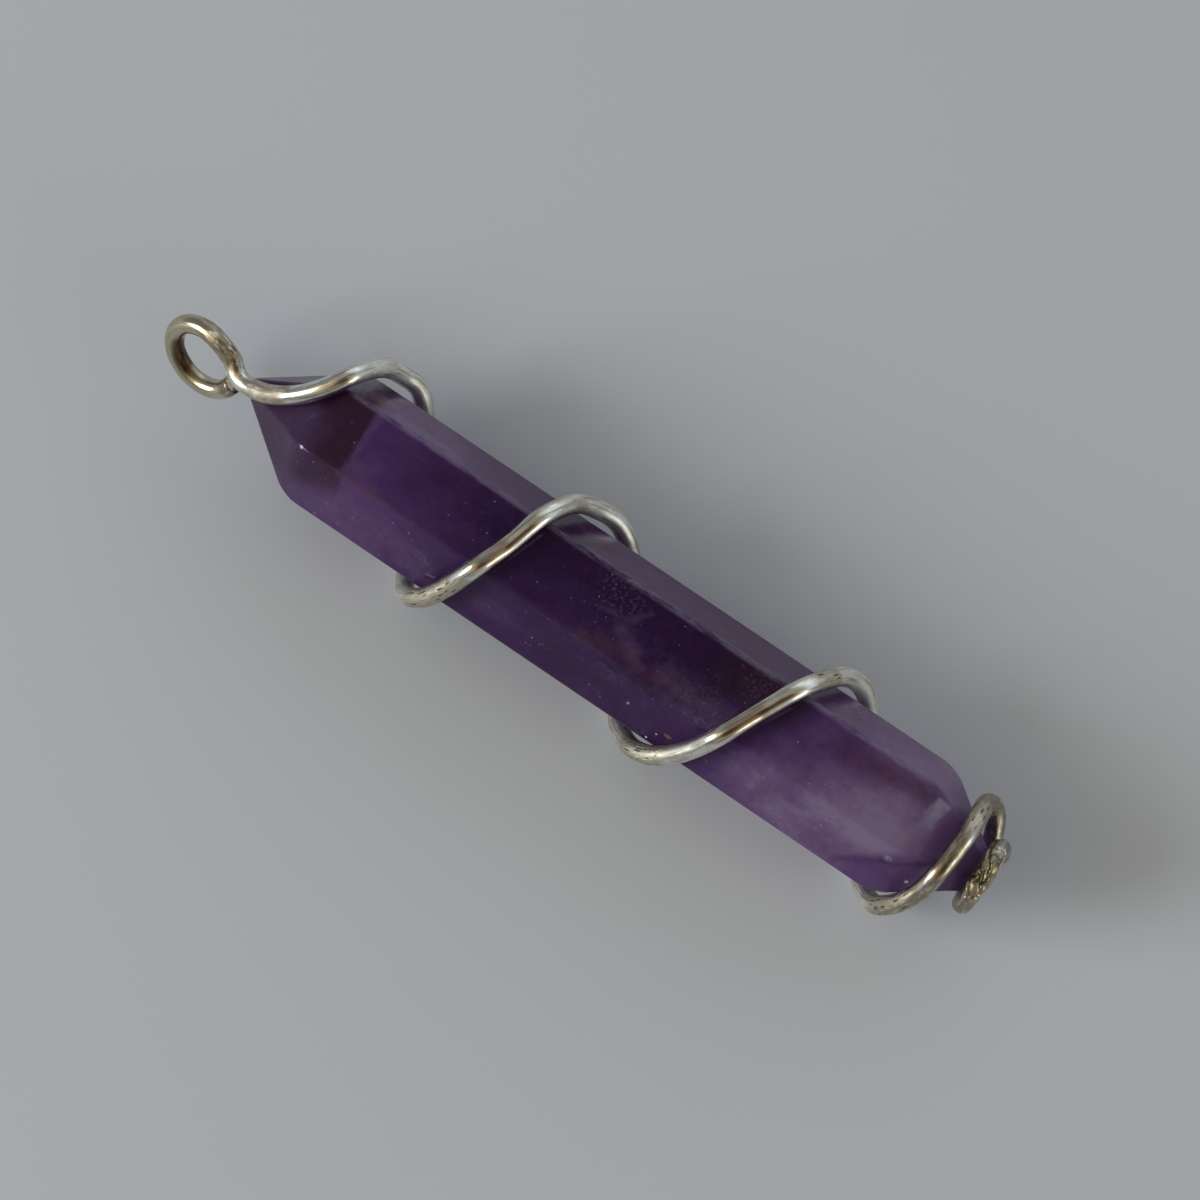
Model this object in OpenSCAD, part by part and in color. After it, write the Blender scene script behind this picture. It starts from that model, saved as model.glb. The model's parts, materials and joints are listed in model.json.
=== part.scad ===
// Wire-wrapped crystal pendant, lying on the back of its winding.
// A six-sided amethyst point is held by one length of round wire. The wire starts as a hanging loop,
// winds round the stone and ends as a tight ring on the stone's blunt tip.
// +X runs from the hanging loop to the blunt tip, +Z is up, and the lowest wire touches Z = 0.

/* [Crystal] */
// Distance between two opposite side faces
across_flats = 6.6; // [6:0.1:7.4]
// Length of the straight sides, from shoulder to shoulder
prism_length = 35.4; // [32:0.1:40]
// Length of the six slopes under the hanging loop
loop_point_length = 5; // [4.8:0.05:5.2]
// Length of the six slopes at the blunt tip
tip_point_length = 4.6; // [4.4:0.05:4.8]
// Distance from the axis to a corner of the flat left at the loop end
loop_flat_r = 0.1; // [0.05:0.05:0.2]
// Distance from the axis to a corner of the flat left at the blunt tip
tip_flat_r = 0.5; // [0.4:0.05:0.6]

/* [Wire] */
// Diameter of the wire
wire_d = 1; // [0.8:0.05:1.05]
// Gap between the wire and the stone where the wire is tight
clearance = 0.07; // [0.05:0.01:0.15]

/* [Hanging loop] */
// Diameter of the loop's hole
loop_hole_d = 2.9; // [2.6:0.1:3]
// Distance from the stone's loop end to the loop's centre
loop_offset = 2.3; // [2.2:0.05:2.4]
// How far the loop leans over from upright
loop_lean = 30; // [25:1:35]
// How far the loop is turned out of line with the stone
loop_swing = 7; // [3:1:10]

/* [Smoothness] */
// Sides of the wire's section
wire_sides = 12; // [8:2:16]
// Rings of the wire for each row of its route
steps_per_row = 4; // [2:1:5]

/* [Hidden] */

// The crystal: a six-sided prism between two shoulders, drawn in to a point at both ends
CRYSTAL_FACES = 6;
corner_r = across_flats / 2 / cos(180 / CRYSTAL_FACES);
shoulder = prism_length / 2;
loop_end = -shoulder - loop_point_length;
tip_end = shoulder + tip_point_length;

// The hanging loop's centre line is most of a circle. It starts at the cut end beside the neck.
loop_r = (loop_hole_d + wire_d) / 2;
loop_centre = [loop_end - loop_offset, -0.2, 0.1];
loop_start = -14;
loop_finish = -284;
loop_step = 22.5;
// Sideways travel from the cut end to the neck, so that the neck passes over the cut end
loop_rise = 0.4;

// The winding's route, one row for each place on the wire's centre line.
// along: millimetres from the crystal's middle, for a prism of the charted length.
// turn: degrees round the crystal, from the top face towards +Y, growing from turn to turn.
// lift: millimetres above a wire that just clears the corners: below zero over a flat face,
// near zero at a corner, and well above zero where a bend stands away from the stone.
charted_shoulder = 17.7;
ALONG = 0;
TURN = 1;
LIFT = 2;
winding = [
  // Neck of the loop, and the run over the loop end's slopes
  [-23.5, 8, 0.85], [-22.85, -14, 0.62], [-22.1, -18, 0.25], [-21, -10, 0.05], [-20, 0, -0.08],
  [-19.1, 10, -0.08], [-18.35, 20, 0.03], [-17.75, 31, 0.13], [-17.3, 50, 0.05], [-16.95, 74, 0.05],
  // First bend and first crossing of the back
  [-16.35, 94, 0.35], [-15.65, 103, 0.6], [-15, 113, 0.5], [-14.4, 130, 0.35], [-13.7, 152, 0.03],
  [-12.6, 180, -0.47], [-11.4, 208, 0.03], [-10.6, 230, 0.1], [-10, 252, 0.05], [-9.4, 270, 0.05],
  // Second run over the front
  [-8.65, 284, -0.1], [-7.85, 306, -0.28], [-7.05, 332, 0.05], [-6.42, 355, -0.47], [-5.85, 382, 0],
  [-5.4, 404, -0.04], [-4.95, 428, -0.1],
  // Second bend and second crossing of the back
  [-4.25, 448, 0.12], [-3.4, 460, 0.42], [-2.6, 471, 0.42], [-1.8, 488, 0.33], [-1.1, 511, 0.03],
  [0.1, 540, -0.47], [1.4, 568, 0.03], [2.4, 590, 0.08], [3.15, 608, -0.05], [4, 625, 0.04],
  // Third run over the front
  [4.95, 637, 0], [5.9, 650, -0.25], [6.8, 670, -0.28], [7.55, 690, 0.06], [8.5, 718, -0.47],
  [9.45, 744, 0.04], [10.1, 768, -0.12], [10.65, 798, 0],
  // Third bend and third crossing of the back
  [11.3, 816, 0.3], [11.9, 829, 0.4], [12.6, 848, 0.3], [13.2, 871, 0.03], [14.4, 900, -0.47],
  [15.9, 928, 0.03], [17.1, 948, 0.05], [17.95, 965, 0.05],
  // Fourth run, over the slopes of the blunt end
  [18.6, 981, 0.1], [19.15, 998, 0.14], [19.7, 1020, 0.12], [20, 1048, 0.28], [20.12, 1076, 0.12],
  [20.12, 1102, 0.16], [20, 1132, 0.12], [19.95, 1160, 0.35], [20.25, 1174, 0.72], [20.7, 1187, 0.75],
  // Tight ring round the blunt tip, up to the wire's cut end
  [21.1, 1212, 0.45], [21.35, 1255, 0.2], [21.55, 1300, 0.18], [21.7, 1350, 0.18], [21.8, 1395, 0.18],
  [21.8, 1440, 0.18], [21.75, 1485, 0.18], [21.75, 1530, 0.2], [21.85, 1560, 0.25]
];

// Distance from the axis to the crystal's corners at a place along it
function corner_at(x) =
  let(loop_slope = (corner_r - loop_flat_r) / loop_point_length)
  let(tip_slope = (corner_r - tip_flat_r) / tip_point_length)
  let(on_loop_slope = loop_flat_r + (x - loop_end) * loop_slope)
  let(on_tip_slope = tip_flat_r + (tip_end - x) * tip_slope)
  max(0, min(corner_r, on_loop_slope, on_tip_slope));

// The rows between the shoulders stretch with the prism, and the others keep to their own end
function placed(along) =
  abs(along) < charted_shoulder
    ? along * shoulder / charted_shoulder
    : along + sign(along) * (shoulder - charted_shoulder);

function winding_point(row) =
  let(x = placed(row[ALONG]))
  let(reach = corner_at(x) + wire_d / 2 + clearance + row[LIFT])
  [x, reach * sin(row[TURN]), reach * cos(row[TURN])];

// Directions of the hanging loop: up its height, out of its plane, and along the stone
loop_up = [0, sin(loop_lean), cos(loop_lean)];
loop_out = [0, -cos(loop_lean), sin(loop_lean)];
loop_along = [cos(loop_swing), 0, 0] + loop_out * sin(loop_swing);
loop_axis = cross(loop_along, loop_up);

function loop_point(angle) =
  let(share = (angle - loop_start) / (loop_finish - loop_start))
  loop_centre
    + loop_r * (loop_along * cos(angle) + loop_up * sin(angle))
    + loop_rise * loop_axis * (share - 0.5);

route = concat(
  [for (angle = [loop_start : -loop_step : loop_finish]) loop_point(angle)],
  [for (row = winding) winding_point(row)]
);

// A smooth curve through four neighbouring points of the route, between the middle two
function blend(p, q, from, to, at) = (p * (to - at) + q * (at - from)) / (to - from);
function knot(p, q) = sqrt(norm(q - p));
function curve_point(p, q, r, s, share) =
  let(k1 = knot(p, q))
  let(k2 = k1 + knot(q, r))
  let(k3 = k2 + knot(r, s))
  let(at = k1 + (k2 - k1) * share)
  let(pq = blend(p, q, 0, k1, at))
  let(qr = blend(q, r, k1, k2, at))
  let(rs = blend(r, s, k2, k3, at))
  blend(blend(pq, qr, 0, k2, at), blend(qr, rs, k1, k3, at), k1, k2, at);

// The route with one more point beyond each end, so that the curve reaches both ends
last_row = len(route) - 1;
padded_route = concat([2 * route[0] - route[1]], route, [2 * route[last_row] - route[last_row - 1]]);
centre_line = concat(
  [
    for (i = [0 : last_row - 1], step = [0 : steps_per_row - 1])
      curve_point(
        padded_route[i], padded_route[i + 1], padded_route[i + 2], padded_route[i + 3],
        step / steps_per_row
      )
  ],
  [route[last_row]]
);

// Rings of the wire's section stand square to the centre line and are carried along without twisting
last_ring = len(centre_line) - 1;
function unit(v) = v / norm(v);
function heading(i) = unit(centre_line[min(i + 1, last_ring)] - centre_line[max(i - 1, 0)]);
function squared(side, i) = unit(side - (side * heading(i)) * heading(i));
function next_side(side, i) = squared(side, min(i, last_ring));
ring_sides = [
  for (i = 0, side = squared([0, 1, 0], 0); i <= last_ring; i = i + 1, side = next_side(side, i))
    side
];
wire_points = [
  for (i = [0 : last_ring], k = [0 : wire_sides - 1])
    let(angle = 360 * k / wire_sides)
    let(across = ring_sides[i])
    centre_line[i] + wire_d / 2 * (cos(angle) * across + sin(angle) * cross(heading(i), across))
];
function wire_corner(i, k) = i * wire_sides + k % wire_sides;
wire_faces = concat(
  [
    for (i = [0 : last_ring - 1], k = [0 : wire_sides - 1])
      [wire_corner(i, k), wire_corner(i + 1, k), wire_corner(i + 1, k + 1)]
  ],
  [
    for (i = [0 : last_ring - 1], k = [0 : wire_sides - 1])
      [wire_corner(i, k), wire_corner(i + 1, k + 1), wire_corner(i, k + 1)]
  ],
  [[for (k = [0 : wire_sides - 1]) wire_corner(0, k)]],
  [[for (k = [wire_sides - 1 : -1 : 0]) wire_corner(last_ring, k)]]
);

// The wire reaches furthest on every side, so its corners place the pendant over the origin
function reach_of(axis) = [for (p = wire_points) p[axis]];
function middle_of(axis) = (min(reach_of(axis)) + max(reach_of(axis))) / 2;
rest = -[middle_of(0), middle_of(1), min(reach_of(2))];

// One of the three bars whose shared space is the crystal: its outline seen across two opposite faces
module crystal_bar() {
  flat_h = across_flats / 2;
  loop_h = loop_flat_r * cos(180 / CRYSTAL_FACES);
  tip_h = tip_flat_r * cos(180 / CRYSTAL_FACES);
  rotate([90, 0, 0])
    linear_extrude(height = 4 * corner_r, center = true)
      polygon([
        [loop_end, -loop_h], [-shoulder, -flat_h], [shoulder, -flat_h], [tip_end, -tip_h],
        [tip_end, tip_h], [shoulder, flat_h], [-shoulder, flat_h], [loop_end, loop_h]
      ]);
}

module crystal() {
  color([0.36, 0.22, 0.5])
    translate(rest)
      intersection() {
        crystal_bar();
        rotate([60, 0, 0]) crystal_bar();
        rotate([120, 0, 0]) crystal_bar();
      }
}

module wire_wrap() {
  color([0.82, 0.8, 0.74])
    translate(rest)
      polyhedron(points = wire_points, faces = wire_faces, convexity = 10);
}

crystal();
wire_wrap();
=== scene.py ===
# %% [markdown]
# # A wire-wrapped amethyst pendant
# The pendant is two things: a long six-sided amethyst, and one length of silver-plated wire. The wire starts
# as a hanging loop, winds round the stone four times and ends as a crushed ring on the stone's blunt tip.
# A simple solid model of both already exists, and everything here is made in its space, in metres.
# We model the stone with its worn edges, then the wire with its crushed end, and give each its material.

# %% Load the frame
import json
import math

import bmesh
import bpy
from mathutils import Matrix, Vector, noise

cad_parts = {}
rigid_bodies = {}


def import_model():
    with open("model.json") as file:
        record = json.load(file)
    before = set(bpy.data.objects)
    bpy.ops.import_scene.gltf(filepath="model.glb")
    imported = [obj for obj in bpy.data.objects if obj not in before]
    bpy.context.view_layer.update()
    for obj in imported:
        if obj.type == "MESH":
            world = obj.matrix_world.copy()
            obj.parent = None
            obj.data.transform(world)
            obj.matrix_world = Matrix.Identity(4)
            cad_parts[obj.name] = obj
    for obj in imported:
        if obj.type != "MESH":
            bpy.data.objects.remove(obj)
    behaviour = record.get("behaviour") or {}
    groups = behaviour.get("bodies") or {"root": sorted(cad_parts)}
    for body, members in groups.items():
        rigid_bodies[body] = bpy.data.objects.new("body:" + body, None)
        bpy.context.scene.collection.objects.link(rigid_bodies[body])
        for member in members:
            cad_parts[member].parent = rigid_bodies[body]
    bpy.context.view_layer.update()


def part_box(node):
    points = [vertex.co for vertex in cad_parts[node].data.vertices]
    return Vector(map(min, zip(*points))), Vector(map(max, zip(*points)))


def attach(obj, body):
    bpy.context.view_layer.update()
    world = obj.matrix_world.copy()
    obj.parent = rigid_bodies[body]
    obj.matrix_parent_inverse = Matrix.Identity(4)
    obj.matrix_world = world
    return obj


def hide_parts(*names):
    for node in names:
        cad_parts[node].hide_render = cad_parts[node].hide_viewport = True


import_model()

# %% [markdown]
# ## Sizes
# Jewellery is measured in millimetres, and the stone's middle is this pendant's natural centre, so sizes are
# written that way. Blender works in metres from the floor, and one small function takes a point across.
# The stone's box in the solid model gives its thickness and where its middle is. The alternative, typing the
# middle as a number, would go stale as soon as the solid model moved.

# %% Sizes and the stone's middle
MM = 0.001

PRISM_LENGTH = 35.4
LOOP_POINT_LENGTH = 5.0
TIP_POINT_LENGTH = 4.6
LOOP_FLAT_R = 0.1
TIP_FLAT_R = 0.5
WIRE_D = 1.0
# The gap that the solid model leaves between wire and stone
CLEARANCE = 0.07

stone_low, stone_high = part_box("crystal")
ACROSS_FLATS = (stone_high.z - stone_low.z) / MM
CORNER_R = ACROSS_FLATS / 2 / math.cos(math.radians(30))
SHOULDER = PRISM_LENGTH / 2
LOOP_END = -SHOULDER - LOOP_POINT_LENGTH
TIP_END = SHOULDER + TIP_POINT_LENGTH

box_middle = (stone_low + stone_high) / 2
STONE_MIDDLE = box_middle - Vector(((LOOP_END + TIP_END) / 2 * MM, 0, 0))


def place(point):
    """A point in millimetres from the stone's middle, as a point in the scene."""
    return STONE_MIDDLE + Vector(point) * MM


print("stone %.2f mm across its flats, middle at %s" % (ACROSS_FLATS, tuple(STONE_MIDDLE)))

# %% [markdown]
# ## Camera
# The photograph looks almost straight down on the pendant, from about 30 cm away, with the stone lying
# across the picture from upper left to lower right. A camera could be aimed with a Track To constraint, but
# its roll would then be a guess. Here its three directions are worked out from two angles, and they become
# the columns of its matrix.

# %% Camera
YAW = math.radians(34.65)
TILT = math.radians(13.1)
CAMERA_DISTANCE = 300.0
SENSOR_WIDTH = 36
FOCAL_LENGTH = 181.35
# What the picture's middle shows, in millimetres from the stone's middle
AIM = (-1.63, 0.783, 0.0)

to_right = Vector((math.cos(YAW), math.sin(YAW), 0))
to_camera = Vector((math.sin(YAW) * math.sin(TILT), -math.cos(YAW) * math.sin(TILT), math.cos(TILT)))
to_top = to_camera.cross(to_right)

camera_data = bpy.data.cameras.new("camera")
camera_data.sensor_width = SENSOR_WIDTH
camera_data.lens = FOCAL_LENGTH
camera_data.clip_start = 0.01
camera_data.clip_end = 10
camera = bpy.data.objects.new("camera", camera_data)
bpy.context.scene.collection.objects.link(camera)
turn = Matrix((to_right, to_top, to_camera)).transposed().to_4x4()
camera.matrix_world = Matrix.Translation(place(AIM) + to_camera * CAMERA_DISTANCE * MM) @ turn
bpy.context.scene.camera = camera
print("camera at", tuple(camera.location))

# %% [markdown]
# ## Shader maths as Python
# A material is a graph of nodes, and long formulas make hard-to-read graphs when each Math node is wired by
# hand. The class below wraps one socket. Its operators add Math nodes, so a formula reads as a formula, and
# its method called node adds any other kind: settings first, then the values or links of its sockets.

# %% Wrap a socket
class Flow:
    """One output socket of a node tree that can be used in Python arithmetic."""

    def __init__(self, tree, socket=None):
        self.tree = tree
        self.socket = socket

    def node(self, kind, settings=None, inputs=None, out=0):
        """Adds a node and returns one of its outputs. stops is a colour ramp's list of (place, colour)."""
        made = self.tree.nodes.new(kind)
        for name, value in (settings or {}).items():
            if name == "stops":
                while len(made.color_ramp.elements) < len(value):
                    made.color_ramp.elements.new(1.0)
                for element, (stop, tone) in zip(made.color_ramp.elements, value):
                    element.position = stop
                    element.color = colour(*tone)
            else:
                setattr(made, name, value)
        for name, value in (inputs or {}).items():
            if isinstance(value, Flow):
                self.tree.links.new(value.socket, made.inputs[name])
            else:
                made.inputs[name].default_value = value
        return Flow(self.tree, made.outputs[out] if made.outputs else None)

    def math(self, operation, *values):
        return self.node("ShaderNodeMath", {"operation": operation}, dict(enumerate(values)))

    def __add__(self, other):
        return self.math("ADD", self, other)

    def __sub__(self, other):
        return self.math("SUBTRACT", self, other)

    def __rsub__(self, other):
        return self.math("SUBTRACT", other, self)

    def __mul__(self, other):
        return self.math("MULTIPLY", self, other)

    def __truediv__(self, other):
        return self.math("DIVIDE", self, other)

    __radd__ = __add__
    __rmul__ = __mul__

    def low(self, other):
        return self.math("MINIMUM", self, other)

    def high(self, other):
        return self.math("MAXIMUM", self, other)

    def size(self):
        return self.math("ABSOLUTE", self)

    def rise(self, start, end):
        """0 up to start, 1 from end on, and a soft step between. start may be the larger."""
        values = {"Value": self, "From Min": start, "From Max": end}
        return self.node("ShaderNodeMapRange", {"interpolation_type": "SMOOTHSTEP"}, values)

    def hump(self, middle, reach):
        """1 at middle, falling softly to 0 at reach on both sides."""
        return (self - middle).size().rise(reach, 0.0)

    def tint(self, bottom, top):
        """A colour that goes from bottom to top as this mask goes from 0 to 1."""
        colours = {0: self, 6: bottom, 7: top}
        return self.node("ShaderNodeMix", {"data_type": "RGBA"}, colours, out=2)


def colour(red, green, blue):
    """A colour for a node's socket, as linear light."""
    return (red, green, blue, 1.0)


def new_material(name):
    """An empty material, and a Flow with which to fill its tree."""
    material = bpy.data.materials.new(name)
    material.use_nodes = True
    material.node_tree.nodes.clear()
    return material, Flow(material.node_tree)


print("operators ready")

# %% [markdown]
# ## Floor and light
# The floor is a plain pale sheet. Round metal shows nothing but its surroundings, so the surroundings matter
# as much as the wire's own colour. A small bright window to the picture's left and a broader, dimmer one low
# on its right are the lamps. The room round them is a cool pale wall to the upper right and a dark warm
# ceiling with golden patches beside the lamps. Together they give each bend of the wire its white, golden and
# brown stretches. A sun lamp would light the stone as well, but leave the metal black.

# %% Floor
FLOOR_REACH = 0.6
PALE_GREY = colour(0.59, 0.63, 0.7)

floor_mesh = bpy.data.meshes.new("floor")
bm = bmesh.new()
bmesh.ops.create_grid(bm, x_segments=1, y_segments=1, size=FLOOR_REACH)
bm.to_mesh(floor_mesh)
bm.free()
floor = bpy.data.objects.new("floor", floor_mesh)
bpy.context.scene.collection.objects.link(floor)

floor_material, flow = new_material("pale_floor")
matte_sheet = flow.node("ShaderNodeBsdfPrincipled", {}, {"Base Color": PALE_GREY, "Roughness": 0.7})
flow.node("ShaderNodeOutputMaterial", {}, {"Surface": matte_sheet})
floor_mesh.materials.append(floor_material)
print("floor reaches %.1f m from the middle" % FLOOR_REACH)

# %% Lamps
# Each lamp: how far to the picture's right, its top and towards the camera, its width and height,
# its power in watts and its colour
LAMPS = {
    "window": ((-0.45, 0.01, 0.22), (0.22, 0.25), 1.35, (0.94, 0.98, 1.0)),
    "balcony_door": ((0.39, -0.23, 0.18), (0.3, 0.2), 0.4, (0.94, 1.0, 0.95)),
}


def in_picture(right, top, nearer):
    """A vector given as its shares to the picture's right, to its top and towards the camera."""
    return to_right * right + to_top * top + to_camera * nearer


for name, (offset, size, watts, tone) in LAMPS.items():
    lamp_data = bpy.data.lights.new(name, "AREA")
    lamp_data.shape = "RECTANGLE"
    lamp_data.size, lamp_data.size_y = size
    lamp_data.energy = watts
    lamp_data.color = tone
    lamp = bpy.data.objects.new(name, lamp_data)
    bpy.context.scene.collection.objects.link(lamp)
    away = in_picture(*offset)
    lamp.location = place(AIM) + away
    lamp.rotation_mode = "QUATERNION"
    lamp.rotation_quaternion = away.to_track_quat("Z", "Y")
print("lamps:", ", ".join(LAMPS))

# %% Room
# Each part of the room, painted over the parts before it: its direction to the picture's right, its top and
# towards the camera, how squarely a ray has to face it at its rim and where it is full, and its colour
ROOM = {
    "right_wall": ((1.0, 0.2, 0.0), -0.4, 1.0, (0.56, 0.63, 0.74)),
    "far_wall": ((0.45, 0.8, 0.25), 0.75, 0.95, (0.8, 0.86, 0.93)),
    "ceiling": ((0.0, 0.0, 1.0), 0.3, 0.8, (0.27, 0.25, 0.22)),
    "gold_by_window": ((-0.7, 0.0, 0.72), 0.86, 0.97, (0.7, 0.54, 0.3)),
    "gold_by_door": ((0.6, -0.35, 0.7), 0.88, 0.97, (0.55, 0.545, 0.3)),
    "brown_ceiling": ((0.2, -0.3, 0.85), 0.75, 0.94, (0.3, 0.22, 0.12)),
    "dark_ceiling": ((0.12, -0.22, 0.95), 0.9, 0.965, (0.045, 0.03, 0.018)),
}
LEFT_WALL = colour(0.2, 0.215, 0.23)

world = bpy.data.worlds.new("room")
world.use_nodes = True
world.node_tree.nodes.clear()
flow = Flow(world.node_tree)
ray = flow.node("ShaderNodeTexCoord", out="Generated")
room = LEFT_WALL
for toward, rim, full, tone in ROOM.values():
    goal = tuple(in_picture(*toward).normalized())
    facing = flow.node("ShaderNodeVectorMath", {"operation": "DOT_PRODUCT"}, {0: ray, 1: goal}, out="Value")
    room = facing.rise(rim, full).tint(room, colour(*tone))
background = flow.node("ShaderNodeBackground", {}, {"Color": room, "Strength": 1.0})
flow.node("ShaderNodeOutputWorld", {}, {"Surface": background})
bpy.context.scene.world = world
bpy.context.scene.view_settings.view_transform = "Standard"
print("room:", ", ".join(ROOM))

# %% [markdown]
# ## The stone's shape
# An amethyst point is a six-sided prism with a six-sided slope at each end. The long arrises of this one are
# still crisp, but its shoulders, where prism and slopes meet, are worn round. A Bevel modifier could round
# every edge at once; bevelling in steps lets each kind of edge have its own width. A cone with two equal
# radii is the prism, and each end face is extruded and shrunk into a point. The shoulders are bevelled wide,
# then the arrises narrow, and every flat face is inset, so that smooth shading stays out of the flats.

# %% Draw out the prism
SIDES = 6
# The very point under the loop is worn off by this much
WORN_POINT = 0.3
# A face whose normal points along the stone by more than this is an end
END_FACING = 0.9


def corner_at(x):
    """Distance from the stone's axis to its corners at a place along it."""
    on_loop_slope = LOOP_FLAT_R + (x - LOOP_END) * (CORNER_R - LOOP_FLAT_R) / LOOP_POINT_LENGTH
    on_tip_slope = TIP_FLAT_R + (TIP_END - x) * (CORNER_R - TIP_FLAT_R) / TIP_POINT_LENGTH
    return max(0.0, min(CORNER_R, on_loop_slope, on_tip_slope))


bm = bmesh.new()
lengthwise = Matrix.Rotation(math.radians(90), 4, "Y")
bmesh.ops.create_cone(
    bm, cap_ends=True, segments=SIDES, radius1=CORNER_R, radius2=CORNER_R,
    depth=PRISM_LENGTH, matrix=lengthwise
)
for end in (LOOP_END + WORN_POINT, TIP_END):
    cap = [face for face in bm.faces if face.normal.x * math.copysign(1, end) > END_FACING]
    grown = bmesh.ops.extrude_face_region(bm, geom=cap)
    bmesh.ops.delete(bm, geom=cap, context="FACES_ONLY")
    ring = [item for item in grown["geom"] if isinstance(item, bmesh.types.BMVert)]
    shrink = corner_at(end) / CORNER_R
    bmesh.ops.scale(bm, vec=(1, shrink, shrink), verts=ring)
    bmesh.ops.translate(bm, vec=(end - ring[0].co.x, 0, 0), verts=ring)
print("prism with two points: %d faces" % len(bm.faces))

# %% Wear its edges
SHOULDER_BEVEL = 0.75
ARRIS_BEVEL = 0.12
# Edges that turn by more than this are arrises, and faces of more square millimetres than this are flats
ARRIS_ANGLE = math.radians(22)
FLAT_AREA = 4.0
FLAT_MARGIN = 0.1
SAME_PLACE = 0.01


def round_off(bm, edges, width, steps):
    """Rounds some edges over this width in millimetres."""
    bmesh.ops.bevel(
        bm, geom=edges, offset=width, offset_type="OFFSET", segments=steps, profile=0.5,
        affect="EDGES", material=-1
    )


def at_shoulder(edge):
    """Both its corners are at a shoulder, and it is too short to run from one shoulder to the other."""
    corners_there = all(abs(abs(corner.co.x) - SHOULDER) < SAME_PLACE for corner in edge.verts)
    return corners_there and edge.calc_length() < 2 * CORNER_R


shoulders = [edge for edge in bm.edges if at_shoulder(edge)]
round_off(bm, shoulders, SHOULDER_BEVEL, steps=5)
arrises = [edge for edge in bm.edges if edge.calc_face_angle() > ARRIS_ANGLE]
round_off(bm, arrises, ARRIS_BEVEL, steps=3)
flats = [face for face in bm.faces if face.calc_area() > FLAT_AREA]
bmesh.ops.inset_individual(bm, faces=flats, thickness=FLAT_MARGIN)
for face in bm.faces:
    face.smooth = True
print("stone: %d shoulder edges, %d arrises, %d flats" % (len(shoulders), len(arrises), len(flats)))
print("%d faces, closed: %s" % (len(bm.faces), all(edge.is_manifold for edge in bm.edges)))


# %% Make it a piece
def finish_piece(bm, name, node):
    """Turns a bmesh in millimetres from the stone's middle into a piece that stands for a solid."""
    bmesh.ops.transform(bm, matrix=Matrix.Translation(STONE_MIDDLE) @ Matrix.Scale(MM, 4), verts=bm.verts)
    mesh = bpy.data.meshes.new(name)
    bm.to_mesh(mesh)
    bm.free()
    piece = bpy.data.objects.new(name, mesh)
    bpy.context.scene.collection.objects.link(piece)
    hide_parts(node)
    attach(piece, "root")
    return piece


stone = finish_piece(bm, "amethyst_point", "crystal")
print("stone box", tuple(stone.dimensions))

# %% [markdown]
# ## Patterns with a place
# What is seen in this stone and on this wire has a place: a streak lies here, a chip there. A photograph
# wrapped round the mesh could show it, but would fix the light into the colours. The helpers below measure
# instead. Object coordinates say where a point of the surface is, noise gives soft or grainy patterns, and
# near and beside say how close the point is to a spot or to a line.

# %% Coordinates and noise
def from_middle(flow):
    """Object coordinates, in millimetres from the stone's middle."""
    inputs = {
        "Vector": flow.node("ShaderNodeTexCoord", out="Object"),
        "Location": tuple(-STONE_MIDDLE / MM), "Scale": (1 / MM, 1 / MM, 1 / MM),
    }
    return flow.node("ShaderNodeMapping", {}, inputs)


def axes(vector):
    return [vector.node("ShaderNodeSeparateXYZ", {}, {"Vector": vector}, out=name) for name in "XYZ"]


def stretch(vector, scale):
    """The same pattern space with each axis multiplied."""
    return vector.node("ShaderNodeVectorMath", {"operation": "MULTIPLY"}, {0: vector, 1: scale})


def cloud(vector, scale, detail=3.0, rough=0.55, warp=0.0):
    """Soft noise, about 0.5 on average."""
    values = {"Vector": vector, "Scale": scale, "Detail": detail, "Roughness": rough, "Distortion": warp}
    return vector.node("ShaderNodeTexNoise", {}, values, out="Fac")


def cells(vector, scale):
    """Distance from the middle of the nearest of many scattered cells."""
    values = {"Vector": vector, "Scale": scale, "Randomness": 1.0}
    return vector.node("ShaderNodeTexVoronoi", {"feature": "F1"}, values, out="Distance")


print("patterns start at", tuple(STONE_MIDDLE / MM), "mm")


# %% Spots and lines
def near(vector, point, reach):
    """1 at a point in millimetres from the stone's middle, falling softly to 0 at reach."""
    away = vector.node("ShaderNodeVectorMath", {"operation": "DISTANCE"}, {0: vector, 1: point}, "Value")
    return away.rise(reach, 0.0)


def near_any(vector, spots):
    """The strongest of near over a table of points and reaches."""
    strongest = near(vector, *spots[0])
    for point, reach in spots[1:]:
        strongest = strongest.high(near(vector, point, reach))
    return strongest


def beside(vector, start, end, reach):
    """1 on the straight line between two points, falling softly to 0 at reach on all sides."""
    span = Vector(end) - Vector(start)
    line = tuple(span)
    gone = vector.node("ShaderNodeVectorMath", {"operation": "SUBTRACT"}, {0: vector, 1: start})
    along = vector.node("ShaderNodeVectorMath", {"operation": "DOT_PRODUCT"}, {0: gone, 1: line}, "Value")
    share = (along / span.length_squared).high(0.0).low(1.0)
    nearest = vector.node("ShaderNodeVectorMath", {"operation": "SCALE"}, {0: line, "Scale": share})
    away = vector.node("ShaderNodeVectorMath", {"operation": "DISTANCE"}, {0: gone, 1: nearest}, "Value")
    return away.rise(reach, 0.0)


print("stone from x %.1f to %.1f mm" % (LOOP_END, TIP_END))

# %% [markdown]
# ## The stone's colour
# Amethyst is clear quartz with its purple in layers, so the middle of this stone is nearly black, both ends
# are paler, and a milky cloud hangs before the tip. Real glass with a coloured volume could show this, but a
# cloudy volume is slow and noisy. Here a glossy body takes its colour from its place inside the stone. One
# number says how pale each place is, and a colour ramp turns it into the four purples. In the formulas x runs
# from the loop to the tip, y to the picture's upper right, and z up.

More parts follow.
